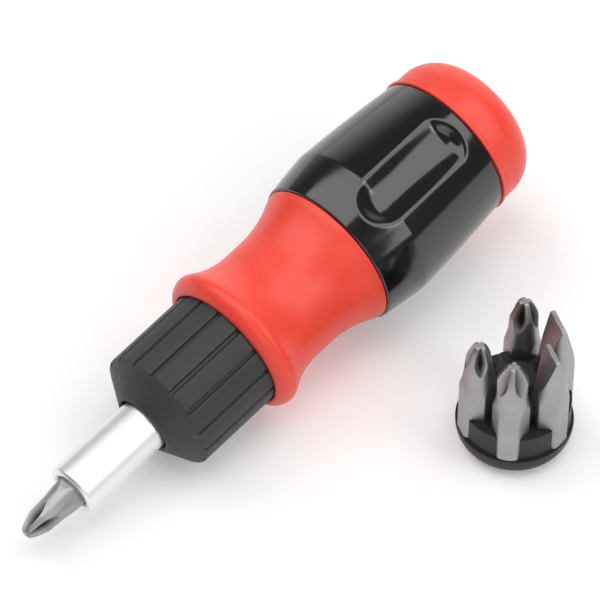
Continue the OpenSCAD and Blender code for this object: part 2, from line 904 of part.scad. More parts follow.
// Bowed leaf spring in the collar, pressing on the pawl's back
module selector_spring() {
    crest = pawl_back + spring_room;
    bow = leaf_seat - leaf_thick - crest;
    turns = steps(-leaf_half, leaf_half, 24);
    inside = [for (t = turns) on_circle(crest + bow * (0.5 - 0.5 * cos(180 * t / leaf_half)), t)];
    outside = [for (t = turns)
        on_circle(crest + leaf_thick + bow * (0.5 - 0.5 * cos(180 * t / leaf_half)), -t)];
    color(steel)
        lay_down()
            pivot_up()
                rotate(-collar_swing)
                    translate([0, 0, z_leaf])
                        linear_extrude(height = leaf_width)
                            polygon(concat(inside, outside));
}

bit_chamfer = 0.6;
shank_slope = 3;
point_swell = 0.79;
groove_root = 0.75;

// Body shared by all bits: a hex shank that narrows to a round neck
module bit_blank(neck, tip) {
    corner = bit_flat / 2 / cos(30);
    intersection() {
        cylinder(r = corner, h = bit_length, $fn = 6);
        rotate_extrude()
            polygon(concat([
                [0, 0],
                [corner - bit_chamfer, 0],
                [corner + slip_gap, bit_chamfer + slip_gap],
                [corner + slip_gap, bit_shank],
                [neck, bit_shank + shank_slope]], tip));
    }
}

// Cross-tip bit: a blunt cone with four grooves that leave four wings
module cross_bit(slim) {
    shoulder = neck_tip_radius * slim;
    difference() {
        bit_blank(neck_radius, [
            [shoulder, bit_length - point_length],
            [shoulder * point_swell, bit_length - point_length / 2],
            [point_radius, bit_length],
            [0, bit_length]]);
        for (turn = [45:90:315])
            rotate(turn)
                translate([point_radius * groove_root, 0, bit_length])
                    rotate([0, -groove_lean, 0])
                        rotate(-45)
                            translate([0, 0, -bit_length / 2])
                                cube([bit_flat, bit_flat, bit_length]);
    }
}

wedge_set_off = 2.2;
blade_flare = 0.3;
blade_straight = 3;

// Blade-tip bit: the end is ground to a wedge
module blade_bit(wide) {
    wedge = bit_length - bit_shank - wedge_set_off;
    half = blade_width * wide / 2;
    lean = atan2(bit_flat / 2 - blade_thick / 2, wedge);
    difference() {
        bit_blank(half + blade_flare, [
            [half, bit_length - blade_straight],
            [half, bit_length],
            [0, bit_length]]);
        for (turn = [0, 180])
            rotate(turn)
                translate([-bit_flat, blade_thick / 2, bit_length])
                    rotate([lean, 0, 0])
                        translate([0, 0, -bit_length])
                            cube([2 * bit_flat, bit_flat, 2 * bit_length]);
    }
}

// Bit in the driver
module driver_bit() {
    color(dark_steel)
        lay_down()
            translate([0, 0, z_bit_seat])
                rotate(bit_roll)
                    cross_bit(1);
}

// One place of the rack, counted round from the first
module rack_place(count) {
    on_rack()
        rotate(60 * count)
            translate([rack_circle, 0, rack_base_height])
                children();
}

block_inset = 0.6;
post_chamfer = 0.8;

// Rack: six open pockets on a round base, round a finned post; the second place stands empty
module bit_rack() {
    pocket = bit_flat / 2 + bit_gap;
    post_taper = rack_post_height - post_chamfer;
    block_radius = rack_radius - block_inset;
    foot_drop = rack_base_height * 0.9;
    bowl = [for (a = steps(0, 90, 8)) [
        rack_foot_radius + (rack_radius - rack_foot_radius) * sin(a),
        foot_drop * (1 - cos(a))]];
    color(black)
        on_rack()
            difference() {
                union() {
                    rotate_extrude()
                        polygon(concat([[0, 0]], bowl, [
                            [rack_radius, rack_base_height],
                            [block_radius, rack_base_height],
                            [block_radius, rack_block_height],
                            [0, rack_block_height]]));
                    cylinder(r = rack_fin_radius, h = rack_fin_height);
                    cylinder(r = rack_post_radius, h = post_taper);
                    translate([0, 0, post_taper])
                        cylinder(r1 = rack_post_radius, r2 = rack_post_radius - post_chamfer,
                            h = post_chamfer);
                }
                for (count = [0:5])
                    rotate(60 * count)
                        translate([rack_circle, 0, rack_base_height]) {
                            rotate(30)
                                cylinder(r = pocket / cos(30), h = bit_length, $fn = 6);
                            translate([0, -rack_slot / 2, 0])
                                cube([rack_radius, rack_slot, bit_length]);
                        }
            }
}

// Cross tip at the back
module rack_bit_1() {
    color(dark_steel)
        rack_place(0)
            rotate(30)
                cross_bit(1.05);
}

// Cross tip on the left
module rack_bit_2() {
    color(dark_steel)
        rack_place(2)
            rotate(30)
                cross_bit(1);
}

// Large cross tip in front
module rack_bit_3() {
    color(dark_steel)
        rack_place(3)
            rotate(90)
                cross_bit(1.15);
}

// Blade tip on the right
module rack_bit_4() {
    color(dark_steel)
        rack_place(4)
            rotate(-30)
                blade_bit(1);
}

// Wide blade tip behind it
module rack_bit_5() {
    color(dark_steel)
        rack_place(5)
            rotate(90)
                blade_bit(1.08);
}

barrel_shell();
grip_sleeve();
storage_tube();
handle_core();
core_screw();
ratchet_plug();
plug_screws();
ratchet_cup();
front_bush();
pawl_pin();
collar_ring();
cap_o_ring();
bit_holder();
holder_magnet();
ratchet_gear();
gear_key();
holder_clip();
thrust_washer();
driver_bit();
selector_collar();
selector_spring();
rocker_pawl();
end_cap();
bit_rack();
rack_bit_1();
rack_bit_2();
rack_bit_3();
rack_bit_4();
rack_bit_5();
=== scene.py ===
# %% [markdown]
# # A stubby ratcheting screwdriver and its bit rack
# The engineering model gives the true sizes and the moving bodies. This lesson dresses it: the large
# moulded shells are worked out again as smooth surfaces, the small metal pieces keep their exact
# solids and get softened edges, and every piece gets a finish made of shader nodes.

# %% Load the frame
import json
import math

import bpy
import numpy as np
from mathutils import Matrix


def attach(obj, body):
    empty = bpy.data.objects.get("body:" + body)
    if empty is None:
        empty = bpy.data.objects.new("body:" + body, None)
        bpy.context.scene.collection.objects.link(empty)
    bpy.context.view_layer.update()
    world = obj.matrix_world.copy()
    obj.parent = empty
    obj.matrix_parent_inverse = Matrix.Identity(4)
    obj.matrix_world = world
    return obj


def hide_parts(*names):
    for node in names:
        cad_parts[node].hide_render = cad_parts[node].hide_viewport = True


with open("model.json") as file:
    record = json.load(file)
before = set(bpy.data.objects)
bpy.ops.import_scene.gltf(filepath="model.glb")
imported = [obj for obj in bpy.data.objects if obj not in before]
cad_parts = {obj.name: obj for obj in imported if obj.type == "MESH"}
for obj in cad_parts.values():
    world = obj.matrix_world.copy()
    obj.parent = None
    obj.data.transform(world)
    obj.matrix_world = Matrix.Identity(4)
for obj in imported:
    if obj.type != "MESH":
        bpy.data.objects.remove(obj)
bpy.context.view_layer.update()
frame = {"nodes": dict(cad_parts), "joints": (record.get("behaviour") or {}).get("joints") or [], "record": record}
MM = 0.001

# %% [markdown]
# The driver lies on the table with its nose a little down, so its long axis is slanted. All its
# shells are round that axis. It is easiest to think in the driver's own directions, up, side and
# along, and to lay the finished points down in one step. The axis comes from the joint on which the
# bit holder turns, and the rear face of the cap is measured from the cap's solid.


# %% The driver's own directions
def joint(name):
    return next(j for j in frame["joints"] if j["name"] == name)


def points_of(node):
    """All corners of a CAD node as an array with one row per corner, in metres."""
    mesh = frame["nodes"][node].data
    flat = np.empty(3 * len(mesh.vertices), np.float32)
    mesh.vertices.foreach_get("co", flat)
    return flat.reshape(-1, 3).astype(float)


along = np.array(joint("spindle_turn")["axis"])
along /= np.linalg.norm(along)
side = np.array([0.0, 1.0, 0.0])
up = np.cross(side, along)
on_axis = np.array(joint("spindle_turn")["pos_m"])
rear = on_axis + along * ((points_of("end_cap") - on_axis) @ along).min()


def lay(points):
    """Driver coordinates to the frame: rear centre plus up, side and along times each number, mm to m."""
    return rear + MM * (points[..., :1] * up + points[..., 1:2] * side + points[..., 2:] * along)


def reach(node, beyond=-math.inf):
    """A node's first and last station along the driver and its largest radius beyond a station, in mm."""
    offset = (points_of(node) - rear) / MM
    stations = offset @ along
    radii = np.linalg.norm(offset - stations[:, None] * along, axis=1)
    return stations.min(), stations.max(), radii[stations > beyond].max()


barrel_rear, barrel_front, ridge_radius = reach("barrel_shell")
grip_rear, grip_front = reach("grip_sleeve")[:2]
lip_radius = reach("grip_sleeve", beyond=(grip_rear + grip_front) / 2)[2]
collar_rear, cone_front, collar_radius = reach("selector_collar")
cap_front, cap_rim_radius = reach("end_cap")[1:]
print("nose down", round(math.degrees(math.asin(-along[2])), 2), "degrees")
for name in ("end_cap", "barrel_shell", "grip_sleeve", "selector_collar"):
    print(name, "first and last station and largest radius", [round(float(c), 2) for c in reach(name)])

# %% [markdown]
# A turned shell is a profile carried round the axis: a grid of points with one row per point of the
# profile and one column per angle. Two neighbouring rows are joined by quads and the last column is
# joined to the first, so there is no seam. A shell with an inside closes on itself, and a cap that
# reaches the axis closes in a single point at both ends.


# %% Grids and their faces
def round_angles(columns):
    """Equal angles once round the axis, as one row."""
    return np.linspace(0, 2 * math.pi, columns, endpoint=False)[None, :]


def turned(radius, station, angle):
    """Points at that radius and station: up is radius times cosine, side is radius times sine."""
    radius, station, angle = np.broadcast_arrays(radius, station, angle)
    return np.stack([radius * np.cos(angle), radius * np.sin(angle), station], axis=-1)


def ring_quads(rings, columns, closed):
    """Corner numbers of the quads between rings of points; closed also joins the last ring to the first."""
    ring, column = np.meshgrid(np.arange(rings if closed else rings - 1), np.arange(columns), indexing="ij")
    after = (ring + 1) % rings
    beside = (column + 1) % columns
    return np.stack([ring * columns + column, ring * columns + beside,
                     after * columns + beside, after * columns + column], axis=-1).reshape(-1, 4)


def fans(rings, columns):
    """Triangles that close the first and the last ring with two more points, numbered after the grid's."""
    here = np.arange(columns)
    beside = (here + 1) % columns
    first = np.stack([np.full(columns, rings * columns), beside, here], axis=-1)
    last = (rings - 1) * columns + np.stack([np.full(columns, columns + 1), here, beside], axis=-1)
    return np.vstack([first, last])


print("quads in two rings of three", len(ring_quads(2, 3, False)), "in their fans", len(fans(2, 3)))

# %% [markdown]
# A mesh also has to know its outside. The signed volume of its faces tells: if it comes out negative,
# every face is turned round. Each finished piece rides on the body that it moves with and stands for the
# solid that it replaces, which is hidden.


# %% Grids into pieces
def signed_volume(points, triangles):
    """Sum of the tetrahedra from the origin to each triangle, positive when the faces look outwards."""
    a, b, c = (points[triangles[:, k]] for k in range(3))
    return np.einsum("ij,ij->", a, np.cross(b, c)) / 6


def shell(name, grid, body, node, closed=True, place=None, sharp=35.0):
    """A piece from a grid of rings: closed is a loop with an inside, else both end rings are points."""
    placed = (place or lay)(grid)
    rings, columns = grid.shape[:2]
    if closed:
        points, faces = placed.reshape(-1, 3), [ring_quads(rings, columns, True)]
    else:
        rings -= 2
        points = np.vstack([placed[1:-1].reshape(-1, 3), placed[0, :1], placed[-1, :1]])
        faces = [ring_quads(rings, columns, False), fans(rings, columns)]
    triangles = np.vstack([np.vstack([f[:, [0, 1, 2]], f[:, [0, 2, f.shape[1] - 1]]]) for f in faces])
    if signed_volume(points - points.mean(axis=0), triangles) < 0:
        faces = [f[:, ::-1] for f in faces]
    mesh = bpy.data.meshes.new(name)
    mesh.from_pydata(points.tolist(), [], [corner for f in faces for corner in f.tolist()])
    mesh.shade_smooth()
    mesh.set_sharp_from_angle(angle=math.radians(sharp))
    piece = bpy.data.objects.new(name, mesh)
    bpy.context.scene.collection.objects.link(piece)
    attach(piece, body)
    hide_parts(node)
    print(name, len(mesh.polygons), "faces")
    return piece


# %% [markdown]
# Moulded and machined parts have no perfectly sharp corners. Three small helpers take care of that:
# the lesser of two radius fields with the corner between them rounded, the quarter circle at an open
# edge, and rows that lie closer together where a shape turns quickly.


# %% Rounded corners
def smooth_least(a, b, width):
    """The lesser of two values, with the corner where they cross rounded over the given width."""
    near = np.maximum(width - np.abs(a - b), 0) / width
    return np.minimum(a, b) - near * near * width / 4


def rounded_end(distance, radius):
    """How far an edge drops at a distance from its end: a quarter circle of that radius."""
    gap = np.clip(radius - distance, 0, radius)
    return radius - np.sqrt(radius * radius - gap * gap)


def crowded(low, high, count):
    """Stations from low to high that lie closer together toward both ends."""
    return low + (high - low) * (1 - np.cos(np.linspace(0, math.pi, count))) / 2


print("equal values, rounded over a width of 1:", smooth_least(1.0, 1.0, 1.0))

# %% [markdown]
# The barrel is the glossy black part of the handle. It swells to a soft ridge and has three finger
# flutes, deep in front and flatter to the rear. A boolean cut would leave a hard rim and stray
# triangles. Here each flute is the near wall of a round bar with domed ends, given as a radius for
# every angle and station, and the lesser of barrel and bar is taken with a rounded corner. That makes
# the soft rim that catches the light. The inside is hollow between two end walls, with a wall of even
# thickness that follows the flutes, as in the solid.

# %% Barrel
RIDGE_FROM_GRIP = 9.3
BARREL_REAR_RADIUS, BARREL_FRONT_RADIUS = 15.6, 16.05
BARREL_BORE, BARREL_WALL, BARREL_END_WALL, HOLLOW_LEAST = 13.05, 2.0, 2.0, 0.2
BARREL_EDGE = 0.35
BARREL_COLUMNS, BARREL_ROWS, BARREL_EDGE_ROWS, HOLLOW_ROWS = 420, 130, 7, 36
INSET = 0.5
FLUTES, FLUTE_ROLL = 3, -26.0
FLUTE_HALF_WIDTH = 4.9
FLUTE_REAR, FLUTE_REAR_ROUND, FLUTE_REAR_DOME = 5.7, 12.0, 6.2
FLUTE_FRONT, FLUTE_ROUND, FLUTE_DOME = 9.1, 8.6, 8.0
FLUTE_FLARE = 13.6
FLUTE_RIM = 1.0


def barrel_radius(station):
    """Radius of the plain barrel: two curves that fall from the ridge to either end."""
    ridge = barrel_front - RIDGE_FROM_GRIP
    behind = np.clip((ridge - station) / (ridge - barrel_rear), 0, 1)
    ahead = np.clip((station - ridge) / RIDGE_FROM_GRIP, 0, 1)
    fall = (ridge_radius - BARREL_REAR_RADIUS) * (behind + behind**2) / 2
    return ridge_radius - fall - (ridge_radius - BARREL_FRONT_RADIUS) * (4 * ahead + ahead**2) / 5


def flute_radius(station, angle, roll):
    """Near wall of a bar with domed ends, seen from the axis: centre distance times cosine less half chord.
    The bar's round grows toward the rear end, and its depth is what keeps the flute equally wide."""
    first, last = barrel_rear + FLUTE_REAR, barrel_front - FLUTE_FRONT
    nearest = np.clip(station, first, last)
    share = np.clip((nearest - first) / FLUTE_FLARE, 0, 1)
    bar = FLUTE_REAR_ROUND + (FLUTE_ROUND - FLUTE_REAR_ROUND) * share * (2 - share)
    skin = barrel_radius(nearest)
    centre = np.sqrt(skin**2 - FLUTE_HALF_WIDTH**2) + np.sqrt(bar**2 - FLUTE_HALF_WIDTH**2)
    turn = (angle - roll + math.pi) % (2 * math.pi) - math.pi
    dome = np.where(station < first, FLUTE_REAR_DOME, FLUTE_DOME)
    chord = bar**2 * (1 - ((station - nearest) / dome) ** 2) - (centre * np.sin(turn)) ** 2
    hit = (chord > 0) & (np.cos(turn) > 0)
    return np.where(hit, centre * np.cos(turn) - np.sqrt(np.maximum(chord, 0)), 2 * ridge_radius)


def fluted_radius(station, angle):
    """Radius of the barrel with its flutes: the rounded least of the barrel and each flute's bar."""
    radius = barrel_radius(station) + 0 * angle
    for roll in math.radians(FLUTE_ROLL) + np.arange(FLUTES) * 2 * math.pi / FLUTES:
        radius = smooth_least(radius, flute_radius(station, angle, roll), FLUTE_RIM)
    return radius


angle = round_angles(BARREL_COLUMNS)
ends = crowded(0, BARREL_EDGE, BARREL_EDGE_ROWS)
between = np.linspace(barrel_rear + INSET, barrel_front - INSET, BARREL_ROWS)
station = np.concatenate([barrel_rear + ends, between, barrel_front - ends[::-1]])[:, None]
edge = rounded_end(np.minimum(station - barrel_rear, barrel_front - station), BARREL_EDGE)
outside = turned(fluted_radius(station, angle) - edge, station, angle)
low, high = barrel_rear + BARREL_END_WALL, barrel_front - BARREL_END_WALL
station = np.linspace(high, low, HOLLOW_ROWS)[:, None]
wall = np.maximum(fluted_radius(station, angle) - BARREL_WALL, BARREL_BORE + HOLLOW_LEAST)
hollow = turned(wall, station, angle)
front_bore = turned(BARREL_BORE, np.array([[barrel_front], [high]]), angle)
rear_bore = turned(BARREL_BORE, np.array([[low], [barrel_rear]]), angle)
skin = np.vstack([outside, front_bore, hollow, rear_bore])
barrel = shell("barrel_skin", skin, "handle", "barrel_shell")

# %% [markdown]
# The red grip is one concave sweep: an arc falls from the barrel to the waist, a second arc flares
# out again, and a rounded lip turns in to the collar. The inside follows the solid: a bore round the
# collar, a web and a hollow behind it.

# %% Grip
WAIST_RADIUS = 12.85
WAIST_FROM_BARREL, WAIST_STRAIGHT = 14.0, 4.2
FLARE_ROUND, LIP_FROM_FRONT, LIP_BLEND = 15.5, 3.0, 0.6
COLLAR_CLEARANCE, LIP_FLAT = 0.3, 0.35
GRIP_WALL = 2.0
GRIP_EDGE = 0.3
WEB_BORE, WEB_THICK, COLLAR_TUCK = 10.85, 2.0, 2.0
GRIP_COLUMNS, GRIP_ROWS, GRIP_EDGE_ROWS, GRIP_INNER_ROWS = 256, 110, 6, 24


def grip_radius(station):
    """Radius of the grip: sweep arc, straight waist, flare arc held under the lip, then the lip's arc."""
    waist_rear = grip_rear + WAIST_FROM_BARREL - WAIST_STRAIGHT / 2
    waist_front = waist_rear + WAIST_STRAIGHT
    crest = grip_front - LIP_FROM_FRONT
    rise = BARREL_FRONT_RADIUS - WAIST_RADIUS
    run = waist_rear - grip_rear
    sweep_round = (run**2 + rise**2) / (2 * rise)
    sweep = sweep_round - np.sqrt(sweep_round**2 - np.clip(waist_rear - station, 0, run) ** 2)
    flare = FLARE_ROUND - np.sqrt(FLARE_ROUND**2 - np.clip(station - waist_front, 0, FLARE_ROUND) ** 2)
    drop = lip_radius - collar_radius - COLLAR_CLEARANCE - LIP_FLAT
    lip_round = (LIP_FROM_FRONT**2 + drop**2) / (2 * drop)
    lip = lip_radius - lip_round + np.sqrt(lip_round**2 - np.clip(station - crest, 0, LIP_FROM_FRONT) ** 2)
    body = smooth_least(WAIST_RADIUS + sweep + flare, lip_radius, LIP_BLEND)
    return np.where(station < crest, body, lip)


angle = round_angles(GRIP_COLUMNS)
ends = crowded(0, GRIP_EDGE, GRIP_EDGE_ROWS)
between = np.linspace(grip_rear + INSET, grip_front - INSET, GRIP_ROWS)
station = np.concatenate([grip_rear + ends, between, grip_front - ends[::-1]])
radius = grip_radius(station) - rounded_end(station - grip_rear, GRIP_EDGE)
web_front = grip_front - COLLAR_TUCK - COLLAR_CLEARANCE
bore = collar_radius + COLLAR_CLEARANCE
hollow = np.linspace(web_front - WEB_THICK, grip_rear, GRIP_INNER_ROWS)
radius = np.concatenate([radius, [bore, bore, WEB_BORE, WEB_BORE], grip_radius(hollow) - GRIP_WALL])
station = np.concatenate([station, [grip_front, web_front, web_front, web_front - WEB_THICK], hollow])
skin = turned(radius[:, None], station[:, None], angle)
grip = shell("grip_skin", skin, "handle", "grip_sleeve")

# %% [markdown]
# The end cap is the same red plastic: a flat end with a large rounding, a short wall and a narrow
# raised rim where it meets the barrel. It comes off, so its inside is there as well. Its profile
# starts and ends on the axis.

# %% End cap
CAP_RADIUS, CAP_ROUND = 15.55, 7.45
CAP_RIM_WIDTH = 0.8
CAP_GROOVE, CAP_GROOVE_SPREAD, CAP_GROOVE_BACK = 0.08, 0.25, 1.25 * CAP_RIM_WIDTH
CAP_BORE, CAP_HOLLOW = 14.0, 11.0
CAP_ROOF, CAP_SKIRT = 2.4, 5.3
CAP_FLAT_ROWS, CAP_ROUND_ROWS, CAP_WALL_ROWS, CAP_RIM_ROWS = 12, 40, 24, 16


def cap_radius(station):
    """Radius of the cap: a quarter circle, a wall with a shallow groove, and the rim's round shoulders."""
    low = np.clip(CAP_ROUND - station, 0, CAP_ROUND)
    body = CAP_RADIUS - CAP_ROUND + np.sqrt(CAP_ROUND**2 - low**2)
    rim = np.clip((station - cap_front + CAP_RIM_WIDTH) / CAP_RIM_WIDTH, 0, 1)
    stand = (cap_rim_radius - CAP_RADIUS) * np.sqrt(np.clip(1 - (2 * rim - 1) ** 4, 0, 1))
    groove = CAP_GROOVE * np.exp(-((station - cap_front + CAP_GROOVE_BACK) / CAP_GROOVE_SPREAD) ** 2)
    return body + np.where(rim > 0, stand, 0) - groove


sweep = np.linspace(0, math.pi / 2, CAP_ROUND_ROWS)
rim_rear = cap_front - CAP_RIM_WIDTH
wall = np.linspace(CAP_ROUND, rim_rear, CAP_WALL_ROWS)[1:]
rim = rim_rear + crowded(0, CAP_RIM_WIDTH, CAP_RIM_ROWS)[1:]
station = np.concatenate([CAP_ROUND * (1 - np.cos(sweep)), wall, rim])
radius = cap_radius(station)
flat = np.linspace(0, CAP_RADIUS - CAP_ROUND, CAP_FLAT_ROWS)[:-1]
radius = np.concatenate([flat, radius, [CAP_BORE, CAP_BORE, CAP_HOLLOW, CAP_HOLLOW, 0]])
station = np.concatenate([0 * flat, station, [cap_front, CAP_SKIRT, CAP_SKIRT, CAP_ROOF, CAP_ROOF]])
skin = turned(radius[:, None], station[:, None], angle)
cap = shell("cap_skin", skin, "cap", "end_cap", closed=False)

# %% [markdown]
# The collar that sets the ratchet's direction has sixteen flat ribs with narrow grooves between
# them, and a smooth cone in front. Ribs and cone are two radius fields, one that depends on the
# angle and one that depends on the station. The lesser of the two, with a small rounding, runs the
# grooves out on the cone just as a mould does.

# %% Selector collar
GROOVES, GROOVE_ROLL = 16, -24.5
GROOVE_WIDTH, GROOVE_DEPTH = 1.3, 0.6
CONE_LENGTH, CONE_FRONT_RADIUS, CONE_MOUTH = 4.3, 6.2, 5.85
CONE_EDGE = 0.35
COLLAR_BORE = 10.51
COLLAR_ROUND = 0.3
SHOULDER_REAR, SHOULDER_FRONT, CONE_STEP = 1.0, 1.2, 0.1
GROOVE_COLUMNS, RIB_ROWS, SHOULDER_ROWS, CONE_ROWS = 40, 14, 26, 12


def groove_depth(angle):
    """Depth of the nearest groove: full in its middle half, then a smooth step up to the rib."""
    pitch = 2 * math.pi / GROOVES
    turn = (angle - math.radians(GROOVE_ROLL) + pitch / 2) % pitch - pitch / 2
    slope = np.clip((np.abs(turn) * collar_radius - GROOVE_WIDTH / 4) / (GROOVE_WIDTH / 4), 0, 1)
    return GROOVE_DEPTH * (1 - slope * slope * (3 - 2 * slope))


angle = round_angles(GROOVES * GROOVE_COLUMNS)
corner = cone_front - CONE_LENGTH
rib_end, cone_start = corner - SHOULDER_REAR, corner + SHOULDER_FRONT
station = np.concatenate([np.linspace(collar_rear, rib_end, RIB_ROWS),
                          np.linspace(rib_end, cone_start, SHOULDER_ROWS)[1:],
                          np.linspace(cone_start, cone_front, CONE_ROWS)[1:]])[:, None]
cone = collar_radius - (station - corner) * (collar_radius - CONE_FRONT_RADIUS) / CONE_LENGTH
radius = smooth_least(collar_radius - groove_depth(angle), cone, COLLAR_ROUND)
mouth = np.array([[CONE_MOUTH, cone_front - CONE_EDGE], [CONE_MOUTH, corner + CONE_STEP],
                  [COLLAR_BORE, corner + CONE_STEP], [COLLAR_BORE, collar_rear]])
skin = np.vstack([turned(radius, station, angle), turned(mouth[:, :1], mouth[:, 1:], angle)])
collar = shell("collar_skin", skin, "selector", "selector_collar")

# %% [markdown]
# A bit starts as a hexagon bar. It is turned down to a neck and a blunt point, and then four grooves
# are milled that leave the wings of a cross tip, or two flats that leave a blade. Each step takes
# metal away, so a bit is the least of three radius fields: the bar, the turned profile and the flank
# of the nearest cut. A cross tip and a blade differ only in the turned profile and the cut, so each
# kind of tip is a pair of functions.

# %% Tips of the bits
BIT_FLAT, BIT_LENGTH, BIT_CHAMFER = 6.35, 25.0, 0.6
BIT_CORNER = BIT_FLAT / 2 / math.cos(math.pi / 6)
SHANK, SHANK_SLOPE = 12.8, 3.0
NECK, SHOULDER, NECK_ROUND = 2.9, 2.6, 0.5
NECK_SLOPE = (BIT_CORNER - NECK) / SHANK_SLOPE
POINT_RADIUS, POINT_LENGTH, POINT_CURVE = 0.9, 3.8, 0.67
GROOVE_ROOT, GROOVE_LEAN = 0.7, 4.0
GROOVE_LENGTH, GROOVE_RUN_OUT = 6.8, 1.85
BLADE_WIDTH, BLADE_THICK, BLADE_FLARE = 5.5, 0.9, 0.3
WEDGE_SET_OFF = 2.2
LEAST_SINE = 0.02


def hexagon(angle):
    """Radius of the bar: half its flat size over the cosine of the angle from the nearest flat."""
    return BIT_FLAT / 2 / np.cos(angle % (math.pi / 3) - math.pi / 6)


def cross_tip(size, darkness=1.0):
    """Profile, cuts and strength of the painted groove shade of a cross tip: a power curve for the point, flanks
    beside each wing.
    """
    last = BIT_CORNER - NECK_SLOPE * (BIT_LENGTH - SHANK)

    def profile(station):
        left = np.clip((BIT_LENGTH - station) / POINT_LENGTH, 0, 1)
        slope = np.interp(station, [SHANK, BIT_LENGTH], [BIT_CORNER, last])
        bar = np.interp(station, [SHANK + SHANK_SLOPE, BIT_LENGTH - POINT_LENGTH], [NECK, SHOULDER * size])
        neck = -smooth_least(-slope, -bar, NECK_ROUND)
        point = POINT_RADIUS + (SHOULDER * size - POINT_RADIUS) * left**POINT_CURVE
        return np.where(left < 1, point, neck)

    def cut(station, angle):
        back = BIT_LENGTH - station
        run_out = GROOVE_RUN_OUT * (back / GROOVE_LENGTH) ** 4
        root = POINT_RADIUS * GROOVE_ROOT + back * math.tan(math.radians(GROOVE_LEAN)) + run_out
        from_wing = (angle + math.pi / 4) % (math.pi / 2) - math.pi / 4
        return root / math.sqrt(2) / np.maximum(np.abs(np.sin(from_wing)), LEAST_SINE)

    return profile, cut, darkness


def blade_tip(size):
    """Profile and cuts of a blade: a slight taper, and two flats that close in on the end like a wedge."""
    half = BLADE_WIDTH * size / 2

    def profile(station):
        return np.interp(station, [SHANK, SHANK + SHANK_SLOPE, BIT_LENGTH - SHANK_SLOPE],
                         [BIT_CORNER, half + BLADE_FLARE, half])

    def cut(station, angle):
        slope = (BIT_FLAT - BLADE_THICK) / 2 / (BIT_LENGTH - SHANK - WEDGE_SET_OFF)
        flat = BLADE_THICK / 2 + (BIT_LENGTH - station) * slope
        return flat / np.maximum(np.abs(np.sin(angle)), LEAST_SINE)

    # A blade gets no painted shade on its flats.
    return profile, cut, 0.0


print("hexagon across its corners", round(2 * BIT_CORNER, 2), "mm")

# %% [markdown]
# Taking the least of the fields with a small rounding gives the edges of a bit their honed look. How
# deep a groove lies below the turned bit is kept on the points, for the shade that is painted into it.
# The rows lie close together where the shank turns into the neck and at the blunt end.

# %% Whole bits
BIT_EDGE = 0.14
# Painted shade in a groove: none above the bright depth, full below the dark depth.
BRIGHT_DEPTH, DARK_DEPTH = 0.3, 1.3
CORNER_CUT, END_ROUND = 0.05, 0.15
BIT_COLUMNS, CHAMFER_ROWS, SHANK_ROWS, SLOPE_ROWS, TIP_ROWS = 240, 5, 8, 26, 48
SHANK_FIRST, SHANK_LAST, SLOPE_FIRST, TIP_FIRST = 1.0, SHANK - 0.4, SHANK - 0.3, SHANK + SHANK_SLOPE + 0.2
LAST_ROWS = np.array([0.3, 0.2, 0.1, 0.04, 0.0])


def bit(name, body, node, tip, place):
    """A whole bit: flat rear with a chamfer, shank, neck and tip, and the blunt end closed in a point."""
    profile, cut, darkness = tip
    angle = round_angles(BIT_COLUMNS)
    station = np.concatenate([np.linspace(0, BIT_CHAMFER, CHAMFER_ROWS),
                              np.linspace(SHANK_FIRST, SHANK_LAST, SHANK_ROWS),
                              np.linspace(SLOPE_FIRST, SHANK + SHANK_SLOPE, SLOPE_ROWS),
                              np.linspace(TIP_FIRST, BIT_LENGTH - LAST_ROWS[0], TIP_ROWS),
                              BIT_LENGTH - LAST_ROWS[1:]])[:, None]
    bar = smooth_least(hexagon(angle), BIT_CORNER - CORNER_CUT, BIT_EDGE)
    rear_chamfer = BIT_CORNER - BIT_CHAMFER + station
    turned_bar = smooth_least(bar, profile(station), BIT_EDGE)
    radius = smooth_least(turned_bar, cut(station, angle), BIT_EDGE)
    # Painted shade: the deeper a groove lies below the turned bit, the darker it is painted.
    groove = darkness * np.clip((turned_bar - radius - BRIGHT_DEPTH) / (DARK_DEPTH - BRIGHT_DEPTH), 0, 1)
    radius = np.minimum(radius, rear_chamfer)
    radius = radius - rounded_end(BIT_LENGTH - station, END_ROUND)
    grid = turned(radius, station, angle)
    axis = np.zeros((1, angle.size, 3))
    grid = np.vstack([axis, grid, axis + [0, 0, BIT_LENGTH]])
    piece = shell(name, grid, body, node, closed=False, place=place, sharp=40.0)
    # The groove attribute carries the painted shade to the finish.
    mask = piece.data.attributes.new("groove", "FLOAT", "POINT")
    mask.data.foreach_set("value", np.append(groove.ravel(), [0.0, 0.0]).astype(np.float32))
    return piece


print("rows on a bit", CHAMFER_ROWS + SHANK_ROWS + SLOPE_ROWS + TIP_ROWS + len(LAST_ROWS) - 1)

# %% [markdown]
# One bit sits in the holder and five stand in the rack. A placing is a function from a bit's own
# coordinates to the frame: it rolls the bit about its axis and moves it to its seat, which is measured
# from the solid. The front bit of the rack has paler shade painted in its grooves than the others.

# %% Bits in their places
DRIVER_BIT_ROLL = math.radians(-27.5)
seat = reach("driver_bit")[0]


def in_driver(points):
    """Bit coordinates to the frame: rolled about the driver's axis and moved to its seat in the socket."""
    x, y, z = np.moveaxis(points, -1, 0)
    c, s = math.cos(DRIVER_BIT_ROLL), math.sin(DRIVER_BIT_ROLL)
    return lay(np.stack([c * x - s * y, s * x + c * y, z + seat], axis=-1))


def in_rack(node, roll):
    """A placing for a standing bit: its foot is measured, its roll counts from the way out of the rack."""
    corners, rack = points_of(node), points_of("bit_rack")
    foot = (corners.min(axis=0) + corners.max(axis=0)) / 2
    foot[2] = corners[:, 2].min()
    middle = (rack.min(axis=0) + rack.max(axis=0)) / 2
    turn = math.atan2(foot[1] - middle[1], foot[0] - middle[0]) + math.radians(roll)

    def place(points):
        x, y, z = np.moveaxis(points, -1, 0)
        c, s = math.cos(turn), math.sin(turn)
        return foot + MM * np.stack([c * x - s * y, s * x + c * y, z], axis=-1)

    return place


